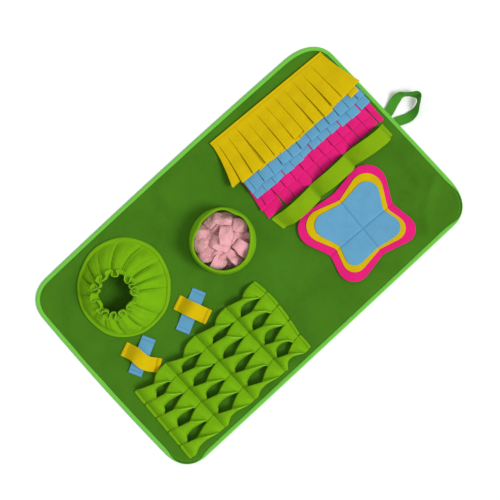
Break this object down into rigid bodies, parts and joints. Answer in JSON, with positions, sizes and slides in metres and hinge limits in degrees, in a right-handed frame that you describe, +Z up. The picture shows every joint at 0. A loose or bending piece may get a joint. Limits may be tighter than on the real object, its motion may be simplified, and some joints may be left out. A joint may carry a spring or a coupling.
{
  "type": "dog enrichment mat",
  "caption": "Flat bound cloth mat with felt fringes, loops, slits, crossed straps, a gathered pocket and a fleece-filled cup for hiding treats.",
  "frame": {"origin": "middle of the mat's underside, on the plane that it lies on", "axes": "+X along the mat towards the hanging loop, +Y towards the long edge beside the fringes, +Z up"},
  "size_m": [1.0953, 0.6075, 0.0619],
  "materials": {
    "mat_cloth": "matt brushed cloth, dark green",
    "binding_tape": "woven tape, light green, soft sheen",
    "loop_tape": "woven tape, mid green",
    "green_felt": "matt felt, bright green",
    "yellow_felt": "matt felt, yellow",
    "blue_felt": "matt felt, blue",
    "pink_felt": "matt felt, strong pink",
    "pink_fleece": "soft fleece, pale pink"
  },
  "bodies": {
    "root": {"mat_base": "mat_cloth", "edge_binding": "binding_tape", "hanging_loop": "loop_tape", "fringe_yellow": "yellow_felt", "fringe_blue": "blue_felt", "fringe_pink": "pink_felt", "loop_ribbon": "green_felt", "butterfly_pink": "pink_felt", "butterfly_yellow": "yellow_felt", "butterfly_blue": "blue_felt", "strap_blue_a": "blue_felt", "strap_yellow_a": "yellow_felt", "strap_blue_b": "blue_felt", "strap_yellow_b": "yellow_felt", "felt_grid": "green_felt", "gathered_pocket": "green_felt", "cup_wall": "green_felt", "cup_fleece": "pink_fleece"}
  },
  "joints": []
}
